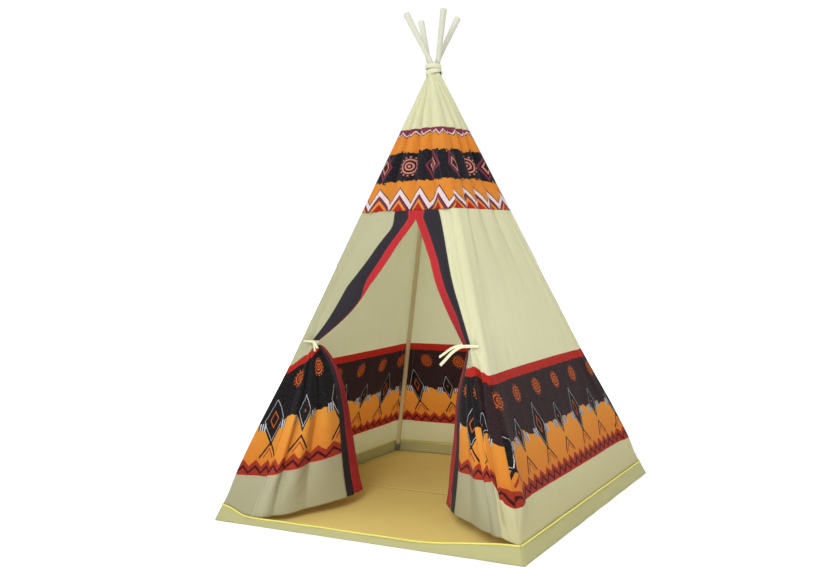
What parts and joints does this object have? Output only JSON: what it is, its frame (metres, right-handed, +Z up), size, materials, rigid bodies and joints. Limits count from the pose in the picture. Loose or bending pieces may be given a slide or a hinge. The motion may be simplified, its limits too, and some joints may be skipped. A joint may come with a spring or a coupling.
{
  "type": "kids teepee",
  "caption": "Four-pole play tent with a square base, printed cloth walls, a tied-back doorway and a sewn-in ground sheet, that folds to a bundle.",
  "frame": {"origin": "centre of the square base on the ground", "axes": "+Z up through the crossing of the poles; the doorway faces -Y; +X is to the right seen from the front"},
  "size_m": [1.0998, 1.0998, 1.659],
  "materials": {
    "cream_cloth": "woven cotton canvas, printed bands",
    "sleeve_cloth": "woven cotton canvas",
    "sheet_cloth": "woven cotton canvas",
    "piping": "twill piping",
    "red_strip": "woven cotton binding",
    "dark_strip": "woven cotton binding",
    "ribbon": "woven tape",
    "pole_plastic": "smooth",
    "plug_plastic": "smooth",
    "foot_rubber": "matt"
  },
  "bodies": {
    "ground_corner": {"sheet_corner": "sheet_cloth"},
    "front_left_pole": {"front_left_foot_cap": "foot_rubber", "front_left_lower_tube": "pole_plastic", "front_left_middle_tube": "pole_plastic", "front_left_upper_tube": "pole_plastic", "front_left_lower_plug": "plug_plastic", "front_left_upper_plug": "plug_plastic", "front_left_sleeve": "sleeve_cloth"},
    "front_right_pole": {"front_right_foot_cap": "foot_rubber", "front_right_lower_tube": "pole_plastic", "front_right_middle_tube": "pole_plastic", "front_right_upper_tube": "pole_plastic", "front_right_lower_plug": "plug_plastic", "front_right_upper_plug": "plug_plastic", "front_right_sleeve": "sleeve_cloth"},
    "back_right_pole": {"back_right_foot_cap": "foot_rubber", "back_right_lower_tube": "pole_plastic", "back_right_middle_tube": "pole_plastic", "back_right_upper_tube": "pole_plastic", "back_right_lower_plug": "plug_plastic", "back_right_upper_plug": "plug_plastic", "back_right_sleeve": "sleeve_cloth"},
    "back_left_pole": {"back_left_foot_cap": "foot_rubber", "back_left_lower_tube": "pole_plastic", "back_left_middle_tube": "pole_plastic", "back_left_upper_tube": "pole_plastic", "back_left_lower_plug": "plug_plastic", "back_left_upper_plug": "plug_plastic", "back_left_sleeve": "sleeve_cloth"},
    "crown": {"crown_lashing": "ribbon"},
    "front_face": {"front_upper_panel": "cream_cloth", "front_left_drape": "cream_cloth", "front_right_drape": "cream_cloth", "left_door_dark_strip": "dark_strip", "left_door_red_strip": "red_strip", "right_door_dark_strip": "dark_strip", "right_door_red_strip": "red_strip", "left_tie": "ribbon", "right_tie": "ribbon", "front_border": "cream_cloth", "front_piping": "piping"},
    "right_face": {"right_wall": "cream_cloth", "right_border": "cream_cloth", "right_piping": "piping"},
    "back_face": {"back_wall": "cream_cloth", "back_border": "cream_cloth", "back_piping": "piping"},
    "left_face": {"left_wall": "cream_cloth", "left_border": "cream_cloth", "left_piping": "piping"},
    "front_sheet": {"sheet_front_half": "sheet_cloth"},
    "back_sheet": {"sheet_back_half": "sheet_cloth"},
    "left_flap": {"left_flap": "cream_cloth", "left_flap_dark_strip": "dark_strip", "left_flap_red_strip": "red_strip"},
    "right_flap": {"right_flap": "cream_cloth", "right_flap_dark_strip": "dark_strip", "right_flap_red_strip": "red_strip"}
  },
  "joints": [
    {"name": "front_left_foot_tilt", "type": "hinge", "parent": "ground_corner", "child": "front_left_pole", "pos_m": [-0.53464, -0.53452, 0.0107], "axis": [0.7184, -0.6956, 0], "range_deg": [-0.5, 23.8]},
    {"name": "pole_fold", "type": "hinge", "parent": "front_left_pole", "child": "crown", "pos_m": [-0.00884, 0.00856, 1.47], "axis": [-0.7184, 0.6956, 0], "range_deg": [0, 23.3], "deforming": ["front_upper_panel", "front_left_drape", "front_right_drape", "left_door_dark_strip", "left_door_red_strip", "right_door_dark_strip", "right_door_red_strip", "left_tie", "right_tie", "front_border", "front_piping", "back_wall", "back_border", "back_piping", "sheet_front_half", "sheet_back_half", "left_wall", "left_border", "left_piping", "right_wall", "right_border", "right_piping", "left_flap", "left_flap_dark_strip", "left_flap_red_strip", "right_flap", "right_flap_dark_strip", "right_flap_red_strip"]},
    {"name": "front_right_pole_fold", "type": "hinge", "parent": "crown", "child": "front_right_pole", "pos_m": [-0.00856, -0.00884, 1.47], "axis": [0.6956, 0.7184, 0], "range_deg": [-0.5, 23.8]},
    {"name": "back_right_pole_fold", "type": "hinge", "parent": "crown", "child": "back_right_pole", "pos_m": [0.00884, -0.00856, 1.47], "axis": [-0.7184, 0.6956, 0], "range_deg": [-0.5, 23.8]},
    {"name": "back_left_pole_fold", "type": "hinge", "parent": "crown", "child": "back_left_pole", "pos_m": [0.00856, 0.00884, 1.47], "axis": [-0.6956, -0.7184, 0], "range_deg": [-0.5, 23.8]},
    {"name": "front_face_fold", "type": "hinge", "parent": "crown", "child": "front_face", "pos_m": [0, -0.0245, 1.444], "axis": [1, 0, 0], "range_deg": [-0.5, 17.8]},
    {"name": "right_face_fold", "type": "hinge", "parent": "crown", "child": "right_face", "pos_m": [0.0245, 0, 1.444], "axis": [0, 1, 0], "range_deg": [-0.5, 17.8]},
    {"name": "back_face_fold", "type": "hinge", "parent": "crown", "child": "back_face", "pos_m": [0, 0.0245, 1.444], "axis": [-1, 0, 0], "range_deg": [-0.5, 17.8]},
    {"name": "left_face_fold", "type": "hinge", "parent": "crown", "child": "left_face", "pos_m": [-0.0245, 0, 1.444], "axis": [0, -1, 0], "range_deg": [-0.5, 17.8]},
    {"name": "front_sheet_fold", "type": "hinge", "parent": "front_face", "child": "front_sheet", "pos_m": [0, -0.5486, 0.0005], "axis": [1, 0, 0], "range_deg": [-0.5, 63.2]},
    {"name": "back_sheet_fold", "type": "hinge", "parent": "back_face", "child": "back_sheet", "pos_m": [0, 0.5486, 0.0005], "axis": [-1, 0, 0], "range_deg": [-0.5, 63.2]},
    {"name": "left_flap_swing", "type": "hinge", "parent": "front_left_pole", "child": "left_flap", "pos_m": [-0.40022, -0.52999, 0.0511], "axis": [0.1893, 0.3419, 0.9205], "range_deg": [-30, 20]},
    {"name": "right_flap_swing", "type": "hinge", "parent": "front_right_pole", "child": "right_flap", "pos_m": [0.47522, -0.5305, 0.0511], "axis": [-0.3168, 0.322, 0.8922], "range_deg": [-20, 30]}
  ],
  "couplings": [
    {"joint": "front_left_foot_tilt", "follows": "pole_fold", "ratio": 1},
    {"joint": "front_right_pole_fold", "follows": "pole_fold", "ratio": 1},
    {"joint": "back_right_pole_fold", "follows": "pole_fold", "ratio": 1},
    {"joint": "back_left_pole_fold", "follows": "pole_fold", "ratio": 1},
    {"joint": "front_face_fold", "follows": "pole_fold", "ratio": 0.74249},
    {"joint": "right_face_fold", "follows": "pole_fold", "ratio": 0.74249},
    {"joint": "back_face_fold", "follows": "pole_fold", "ratio": 0.74249},
    {"joint": "left_face_fold", "follows": "pole_fold", "ratio": 0.74249},
    {"joint": "front_sheet_fold", "follows": "pole_fold", "ratio": 2.691},
    {"joint": "back_sheet_fold", "follows": "pole_fold", "ratio": 2.691}
  ]
}
